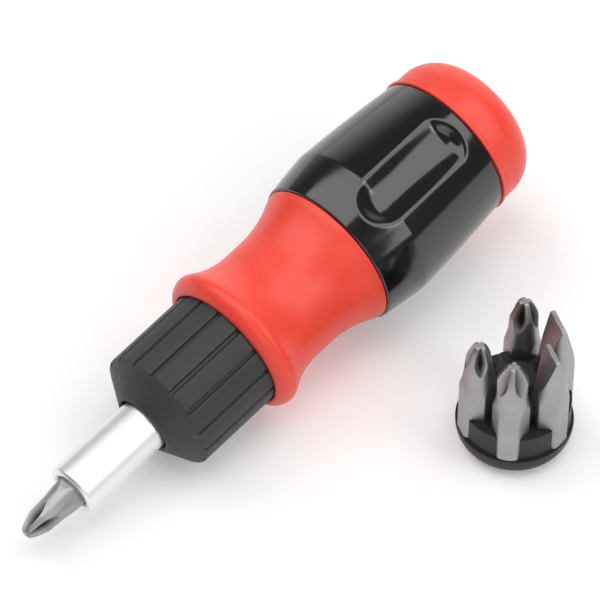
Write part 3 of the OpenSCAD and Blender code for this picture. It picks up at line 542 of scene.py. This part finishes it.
bits = [bit("driver_bit_skin", "bit", "driver_bit", cross_tip(1.0), in_driver)]
# The bit with darkness 0.4 is the front one, with paler painted shade in its grooves.
RACK_TIPS = [(cross_tip(1.05), 30), (cross_tip(1.0), 30), (cross_tip(1.15, darkness=0.4), 90),
             (blade_tip(1.0), -30), (blade_tip(1.08), 90)]
for count, (tip, roll) in enumerate(RACK_TIPS, start=1):
    node = f"rack_bit_{count}"
    bits.append(bit(node + "_skin", f"bit_{count}", node, tip, in_rack(node, roll)))

# %% [markdown]
# All other pieces keep their exact solids, which arrive as loose flat triangles. Geometry nodes merge
# these and shade them smooth up to an angle, so that a turned face looks round and an edge stays an
# edge, and the solid itself is left as it is. Real edges are never razor sharp, and a small bevel is
# what catches a highlight, so the two solids that show most get a Bevel modifier as well, and a Weld
# for the points that a bevel leaves on top of each other.


# %% Softened solids
def add(tree, kind, links=(), **settings):
    """A new node with its settings, and links given as (socket of the node, output socket or value)."""
    node = tree.nodes.new(kind)
    for key, value in settings.items():
        setattr(node, key, value)
    for socket, source in links:
        if isinstance(source, bpy.types.NodeSocket):
            tree.links.new(source, node.inputs[socket])
        else:
            node.inputs[socket].default_value = source
    return node


MERGE, SHARP_ANGLE = 0.002, 28.0
smooth = bpy.data.node_groups.new("smooth_shade", "GeometryNodeTree")
for way in ("INPUT", "OUTPUT"):
    smooth.interface.new_socket("Geometry", in_out=way, socket_type="NodeSocketGeometry")
solid = add(smooth, "NodeGroupInput").outputs[0]
merged = add(smooth, "GeometryNodeMergeByDistance", [("Geometry", solid), ("Distance", MERGE * MM)])
bend = add(smooth, "GeometryNodeInputMeshEdgeAngle").outputs["Unsigned Angle"]
limit = math.radians(SHARP_ANGLE)
soft = add(smooth, "FunctionNodeCompare", [(0, bend), (1, limit)], operation="LESS_THAN")
faces = add(smooth, "GeometryNodeSetShadeSmooth", [("Geometry", merged.outputs[0])], domain="FACE")
edges = add(smooth, "GeometryNodeSetShadeSmooth",
            [("Geometry", faces.outputs[0]), ("Shade Smooth", soft.outputs[0])], domain="EDGE")
add(smooth, "NodeGroupOutput", [(0, edges.outputs[0])])

EDGE_WIDTH = {"bit_holder": 0.18, "bit_rack": 0.1}
for node in frame["nodes"].values():
    node.modifiers.new("smooth", "NODES").node_group = smooth
for name, width in EDGE_WIDTH.items():
    bevel = frame["nodes"][name].modifiers.new("edge", "BEVEL")
    bevel.width = width * MM
    bevel.segments = 2
    bevel.limit_method = "ANGLE"
    bevel.angle_limit = limit
    bevel.use_clamp_overlap = False
    bevel.harden_normals = True
    weld = frame["nodes"][name].modifiers.new("weld", "WELD")
    weld.merge_threshold = MERGE * MM
print("smooth", len(frame["nodes"]), "bevelled", sorted(EDGE_WIDTH))

# %% [markdown]
# Finishes share three effects, each a node group. Grain is fine moulding or casting texture. Marks
# are the rings that a lathe leaves round the driver's axis. The third finds convex edges and hollows
# from the mesh's own pointiness: it lightens the edges and paints shade into the hollows.


# %% Shared effects
def group(name, inputs, outputs):
    """A new shader node group with float inputs (name: default) and float outputs."""
    tree = bpy.data.node_groups.new(name, "ShaderNodeTree")
    for label, value in inputs.items():
        socket = tree.interface.new_socket(label, in_out="INPUT", socket_type="NodeSocketFloat")
        socket.default_value = value
    for label in outputs:
        tree.interface.new_socket(label, in_out="OUTPUT", socket_type="NodeSocketFloat")
    return tree, tree.nodes.new("NodeGroupInput"), tree.nodes.new("NodeGroupOutput")


BROAD_SHARE = 0.06


def make_grain():
    tree, given, out = group("grain", {"Scale": 900.0}, ["Fine", "Broad"])
    place = add(tree, "ShaderNodeTexCoord").outputs["Object"]
    scale = given.outputs["Scale"]
    fine = add(tree, "ShaderNodeTexNoise", [("Vector", place), ("Scale", scale), ("Detail", 4.0)])
    lower = add(tree, "ShaderNodeMath", [(0, scale), (1, BROAD_SHARE)], operation="MULTIPLY").outputs[0]
    broad = add(tree, "ShaderNodeTexNoise", [("Vector", place), ("Scale", lower), ("Detail", 3.0)])
    tree.links.new(fine.outputs["Fac"], out.inputs["Fine"])
    tree.links.new(broad.outputs["Fac"], out.inputs["Broad"])
    return tree


def make_marks():
    tree, given, out = group("marks", {"Scale": 6000.0}, ["Rings"])
    place = add(tree, "ShaderNodeTexCoord").outputs["Object"]
    length = add(tree, "ShaderNodeVectorMath", [(0, place), (1, tuple(along))], operation="DOT_PRODUCT")
    noise = add(tree, "ShaderNodeTexNoise",
                [("W", length.outputs["Value"]), ("Scale", given.outputs["Scale"]), ("Detail", 3.0)],
                noise_dimensions="1D")
    tree.links.new(noise.outputs["Fac"], out.inputs["Rings"])
    return tree


FLAT = 0.5


def make_edges_and_shade():
    tree, given, out = group("edges_and_shade", {"Reach": 0.08}, ["Edge", "Painted_Shade"])
    shape = add(tree, "ShaderNodeNewGeometry").outputs["Pointiness"]
    # The first output rises on convex edges; the second rises in hollows and is used as painted shade.
    for label, operation in (("Edge", "ADD"), ("Painted_Shade", "SUBTRACT")):
        end = add(tree, "ShaderNodeMath", [(0, FLAT), (1, given.outputs["Reach"])], operation=operation)
        ramp = add(tree, "ShaderNodeMapRange",
                   [("Value", shape), ("From Min", FLAT), ("From Max", end.outputs[0])])
        tree.links.new(ramp.outputs["Result"], out.inputs[label])
    return tree


GRAIN, MARKS, EDGE_AND_SHADE = make_grain(), make_marks(), make_edges_and_shade()
print("groups", [tree.name for tree in (GRAIN, MARKS, EDGE_AND_SHADE)])

# %% [markdown]
# A finish is a Principled shader whose colour, roughness and bump all come from the effects. Two
# close colours are mixed by the broad grain, the roughness swings with the fine grain, and the bump
# is less than a tenth of a millimetre high. Three more helpers add to a finish what only some pieces
# show: lighter edges with painted shade in the hollows, painted shade in milled grooves, and turning rings.

# %% Making a finish
MIX_FACTOR, MIX_A, MIX_B, MIX_RESULT = 0, 6, 7, 2
GRAIN_LOW, GRAIN_HIGH = 0.3, 0.7
RELIEF = 0.6


def grainy(name, colour, second, rough, scale, bump, metal=0.0):
    """A finish with two close colours, a roughness from low to high and a fine bump, all from the grain."""
    material = bpy.data.materials.new(name)
    material.use_nodes = True
    tree = material.node_tree
    shader = tree.nodes["Principled BSDF"]
    shader.inputs["Metallic"].default_value = metal
    grain = add(tree, "ShaderNodeGroup", node_tree=GRAIN)
    grain.inputs["Scale"].default_value = scale
    tint = add(tree, "ShaderNodeMix",
               [(MIX_FACTOR, grain.outputs["Broad"]), (MIX_A, (*colour, 1)), (MIX_B, (*second, 1))],
               data_type="RGBA")
    swing = add(tree, "ShaderNodeMapRange",
                [("Value", grain.outputs["Fine"]), ("From Min", GRAIN_LOW), ("From Max", GRAIN_HIGH),
                 ("To Min", rough[0]), ("To Max", rough[1])])
    relief = add(tree, "ShaderNodeBump",
                 [("Height", grain.outputs["Fine"]), ("Strength", RELIEF), ("Distance", bump * MM)])
    tree.links.new(tint.outputs[MIX_RESULT], shader.inputs["Base Color"])
    tree.links.new(swing.outputs["Result"], shader.inputs["Roughness"])
    tree.links.new(relief.outputs["Normal"], shader.inputs["Normal"])
    return material


def edges_and_painted_shade(material, edge, hollow, reach):
    """Adds lighter edges and painted shade in the hollows to a finish, each in its own colour; a longer reach is
    fainter.
    """
    tree = material.node_tree
    shader = tree.nodes["Principled BSDF"]
    edges_and_shade = add(tree, "ShaderNodeGroup", node_tree=EDGE_AND_SHADE)
    edges_and_shade.inputs["Reach"].default_value = reach
    for label, colour in (("Edge", edge), ("Painted_Shade", hollow)):
        base = shader.inputs["Base Color"].links[0].from_socket
        tint = add(tree, "ShaderNodeMix",
                   [(MIX_FACTOR, edges_and_shade.outputs[label]), (MIX_A, base), (MIX_B, (*colour, 1))],
                   data_type="RGBA")
        tree.links.new(tint.outputs[MIX_RESULT], shader.inputs["Base Color"])


def painted_groove_shade(material, colour):
    """Adds painted shade to the milled grooves of a finish, where the points carry a groove depth."""
    tree = material.node_tree
    shader = tree.nodes["Principled BSDF"]
    depth = add(tree, "ShaderNodeAttribute", attribute_name="groove", attribute_type="GEOMETRY")
    base = shader.inputs["Base Color"].links[0].from_socket
    tint = add(tree, "ShaderNodeMix",
               [(MIX_FACTOR, depth.outputs["Fac"]), (MIX_A, base), (MIX_B, (*colour, 1))], data_type="RGBA")
    tree.links.new(tint.outputs[MIX_RESULT], shader.inputs["Base Color"])


def ringed(material, scale, bump):
    """Replaces the fine bump of a finish with turning rings round the driver's axis."""
    tree = material.node_tree
    marks = add(tree, "ShaderNodeGroup", node_tree=MARKS)
    marks.inputs["Scale"].default_value = scale
    relief = next(n for n in tree.nodes if n.type == "BUMP")
    relief.inputs["Distance"].default_value = bump * MM
    tree.links.new(marks.outputs["Rings"], relief.inputs["Height"])


print("grain from", GRAIN_LOW, "to", GRAIN_HIGH, "sets the roughness")

# %% [markdown]
# The plastics come first, then the metals. The red is a fine satin, the barrel is polished, and the
# ribbed collar is moulded with a coarse grain so that it can be gripped. The colours of a finish are
# its own, and the roughness is a range. The bump is given in millimetres.

# %% Finishes
red = grainy("red_satin", (0.9, 0.06, 0.03), (0.95, 0.07, 0.04), (0.34, 0.42), 2500, 0.004)
gloss = grainy("black_gloss", (0.005, 0.005, 0.006), (0.008, 0.008, 0.009), (0.1, 0.14), 900, 0.0006)
gloss.node_tree.nodes["Principled BSDF"].inputs["Specular IOR Level"].default_value = 0.8
matte = grainy("black_ribbed", (0.024, 0.024, 0.027), (0.034, 0.034, 0.037), (0.5, 0.62), 2200, 0.08)
# Lighter rib edges, and painted shade in the collar's hollows.
edges_and_painted_shade(matte, edge=(0.06, 0.06, 0.064), hollow=(0.012, 0.012, 0.013), reach=0.08)
rack_black = grainy("rack_black", (0.012, 0.012, 0.013), (0.02, 0.02, 0.021), (0.42, 0.54), 1800, 0.008)
# Lighter edges, and painted shade in the rack's hollows.
edges_and_painted_shade(rack_black, edge=(0.04, 0.04, 0.042), hollow=(0.008, 0.008, 0.008), reach=0.15)
rack_black.node_tree.nodes["Principled BSDF"].inputs["Specular IOR Level"].default_value = 0.35
core_black = grainy("core_black", (0.015, 0.015, 0.016), (0.024, 0.024, 0.025), (0.45, 0.6), 1500, 0.01)
chrome = grainy("satin_chrome", (0.82, 0.83, 0.85), (0.87, 0.88, 0.9), (0.36, 0.42), 1200, 0.001, 1.0)
ringed(chrome, scale=5000, bump=0.0006)
steel = grainy("bit_steel", (0.31, 0.307, 0.305), (0.45, 0.447, 0.445), (0.38, 0.5), 2600, 0.02, 1.0)
# Painted shade in the milled grooves of the bits, darkest at their roots.
painted_groove_shade(steel, (0.05, 0.049, 0.048))
hard_steel = grainy("ratchet_steel", (0.3, 0.3, 0.31), (0.42, 0.42, 0.43), (0.35, 0.5), 1400, 0.006, 1.0)
zinc = grainy("screw_zinc", (0.6, 0.61, 0.63), (0.7, 0.7, 0.69), (0.25, 0.4), 1500, 0.003, 1.0)
spring = grainy("spring_steel", (0.5, 0.5, 0.52), (0.6, 0.6, 0.62), (0.2, 0.3), 1500, 0.002, 1.0)
ringed(spring, scale=4000, bump=0.002)
alloy = grainy("cast_alloy", (0.58, 0.58, 0.6), (0.68, 0.68, 0.69), (0.4, 0.55), 1700, 0.012, 1.0)
brass = grainy("turned_brass", (0.7, 0.5, 0.22), (0.78, 0.58, 0.28), (0.22, 0.34), 1500, 0.002, 1.0)
ringed(brass, scale=4500, bump=0.003)
rubber = grainy("ring_rubber", (0.012, 0.012, 0.012), (0.02, 0.02, 0.02), (0.6, 0.75), 2200, 0.006)
nickel = grainy("magnet_nickel", (0.55, 0.54, 0.52), (0.66, 0.65, 0.62), (0.18, 0.28), 1500, 0.002, 1.0)
print("materials", len(bpy.data.materials))

# %% [markdown]
# The record names a material slot for every solid, and a table from slot to finish dresses them all.
# The surfaces that stand for a solid get the same finish.

# %% Finishes on the pieces
FINISH = {"red_plastic": red, "black_gloss": gloss, "black_matte": matte, "core_plastic": core_black,
          "rack_plastic": rack_black, "bright_chrome": chrome, "bit_steel": steel,
          "ratchet_steel": hard_steel, "zinc_screw": zinc, "spring_steel": spring,
          "light_alloy": alloy, "bearing_brass": brass, "rubber": rubber, "magnet": nickel}
for entry in frame["record"]["subparts"]:
    node = frame["nodes"][entry["node"]]
    node.data.materials.clear()
    node.data.materials.append(FINISH[entry["material_slot"]])
dressed = [(barrel, gloss), (grip, red), (cap, red), (collar, matte)] + [(piece, steel) for piece in bits]
for piece, finish in dressed:
    piece.data.materials.append(finish)
print("finishes", len(FINISH))

# %% [markdown]
# The set is a white table under soft boxes, as in a small product studio. The table is white
# by its colour. A little light of its own, which only the camera and reflections see, lifts it to
# paper white, and the shadows of the pieces stay.

# %% Table
FLOOR_REACH = 3.0
FLOOR_LIFT = 0.2
corner_signs = np.array([[-1, -1], [1, -1], [1, 1], [-1, 1]])
floor_mesh = bpy.data.meshes.new("table")
floor_mesh.from_pydata([(*c, 0.0) for c in (FLOOR_REACH * corner_signs).tolist()], [], [(0, 1, 2, 3)])
floor = bpy.data.objects.new("table", floor_mesh)
bpy.context.scene.collection.objects.link(floor)
paper = bpy.data.materials.new("table_white")
paper.use_nodes = True
tree = paper.node_tree
shader = tree.nodes["Principled BSDF"]
shader.inputs["Base Color"].default_value = (0.86, 0.86, 0.86, 1)
shader.inputs["Roughness"].default_value = 0.9
shader.inputs["Specular IOR Level"].default_value = 0.0
shader.inputs["Emission Color"].default_value = (1, 1, 1, 1)
ray = add(tree, "ShaderNodeLightPath")
seen = ray.outputs["Is Camera Ray"]
for way in ("Is Glossy Ray", "Is Transmission Ray"):
    seen = add(tree, "ShaderNodeMath", [(0, seen), (1, ray.outputs[way])], operation="MAXIMUM").outputs[0]
lift = add(tree, "ShaderNodeMath", [(0, seen), (1, FLOOR_LIFT)], operation="MULTIPLY")
tree.links.new(lift.outputs[0], shader.inputs["Emission Strength"])
floor_mesh.materials.append(paper)
print("table", 2 * FLOOR_REACH, "m wide")

# %% [markdown]
# Two soft boxes hang a metre above the table and one stands beside it. Each is a rectangle whose
# brightness is given, so a wider box gives more light without looking brighter in the gloss. The long
# box shows as the grey patch between ridge and grip, the side box as the strip on the flute's floor,
# and the standing one as the patch below the flute. A fainter one behind the camera fills the shade,
# where no gloss shows it.

# %% Light
BOX_HEIGHT = 1.0
BRIGHTNESS, FILL = 2.2, 1.4


def soft_box(name, brightness, middle, size, tilt=0.0, turn=0.0):
    """A rectangular lamp that faces down, is tilted up and turned: watts are brightness, pi and area."""
    lamp = bpy.data.lights.new(name, "AREA")
    lamp.shape = "RECTANGLE"
    lamp.size, lamp.size_y = size
    lamp.energy = brightness * math.pi * size[0] * size[1]
    box = bpy.data.objects.new(name, lamp)
    box.location = middle
    box.rotation_euler = (math.radians(tilt), 0, math.radians(turn))
    box.visible_camera = False
    bpy.context.scene.collection.objects.link(box)
    print(name, round(lamp.energy, 2), "W")


soft_box("long_box", BRIGHTNESS, (-0.225, 0.565, BOX_HEIGHT), (0.75, 1.73))
soft_box("side_box", BRIGHTNESS, (0.475, -0.835, BOX_HEIGHT), (0.65, 1.73))
soft_box("standing_box", BRIGHTNESS, (0.32, -1.2, 0.71), (0.36, 0.98), tilt=90)
soft_box("fill_box", FILL, (-0.75, -0.85, 0.6), (0.8, 0.8), tilt=62, turn=-41)

# %% [markdown]
# The rest of the studio is dark grey, apart from a pale backdrop on the far side. The gloss shows it
# as the soft grey along the barrel's upper edge. A dot product with the direction of the backdrop
# says how near a ray comes to it.

# %% Backdrop
ROOM, BACKDROP = 0.15, 1.4
BACKDROP_WAY = (0.85, 0.53, 0.0)
FADE = (0.62, 0.92)
world = bpy.data.worlds.new("studio")
bpy.context.scene.world = world
world.use_nodes = True
tree = world.node_tree
way = add(tree, "ShaderNodeTexCoord").outputs["Generated"]
near = add(tree, "ShaderNodeVectorMath", [(0, way), (1, BACKDROP_WAY)], operation="DOT_PRODUCT")
level = add(tree, "ShaderNodeMapRange",
            [("Value", near.outputs["Value"]), ("From Min", FADE[0]), ("From Max", FADE[1]),
             ("To Min", ROOM), ("To Max", BACKDROP)], interpolation_type="SMOOTHSTEP")
tree.nodes["Background"].inputs["Color"].default_value = (1, 1, 1, 1)
tree.links.new(level.outputs["Result"], tree.nodes["Background"].inputs["Strength"])
print("world strength", ROOM, "to", BACKDROP)

# %% [markdown]
# The camera looks down on the table from the left front with a long lens, as in a catalogue picture.
# Its place follows from the direction of view, the distance and the point that the picture is
# centred on.

# %% Camera
AZIMUTH, ELEVATION = math.radians(-46.25), math.radians(50.9)
DISTANCE = 0.86538
CENTRE = np.array([8.954, 18.332, 14.165]) * MM
LENS, SENSOR = 270.0, 36.0
level_way = np.array([math.sin(AZIMUTH), -math.cos(AZIMUTH), 0.0])
toward = level_way * math.cos(ELEVATION) + np.array([0.0, 0.0, math.sin(ELEVATION)])
right = np.array([math.cos(AZIMUTH), math.sin(AZIMUTH), 0.0])
upward = np.cross(toward, right)
lens = bpy.data.cameras.new("camera")
lens.lens, lens.sensor_width = LENS, SENSOR
lens.clip_start, lens.clip_end = 0.05, 20.0
camera = bpy.data.objects.new("camera", lens)
pose = np.eye(4)
pose[:3, :3] = np.stack([right, upward, toward], axis=1)
pose[:3, 3] = CENTRE + DISTANCE * toward
camera.matrix_world = Matrix(pose.tolist())
bpy.context.scene.collection.objects.link(camera)
bpy.context.scene.camera = camera
bpy.context.scene.view_settings.view_transform = "Standard"
print("camera in mm", np.round(pose[:3, 3] / MM, 1).tolist())
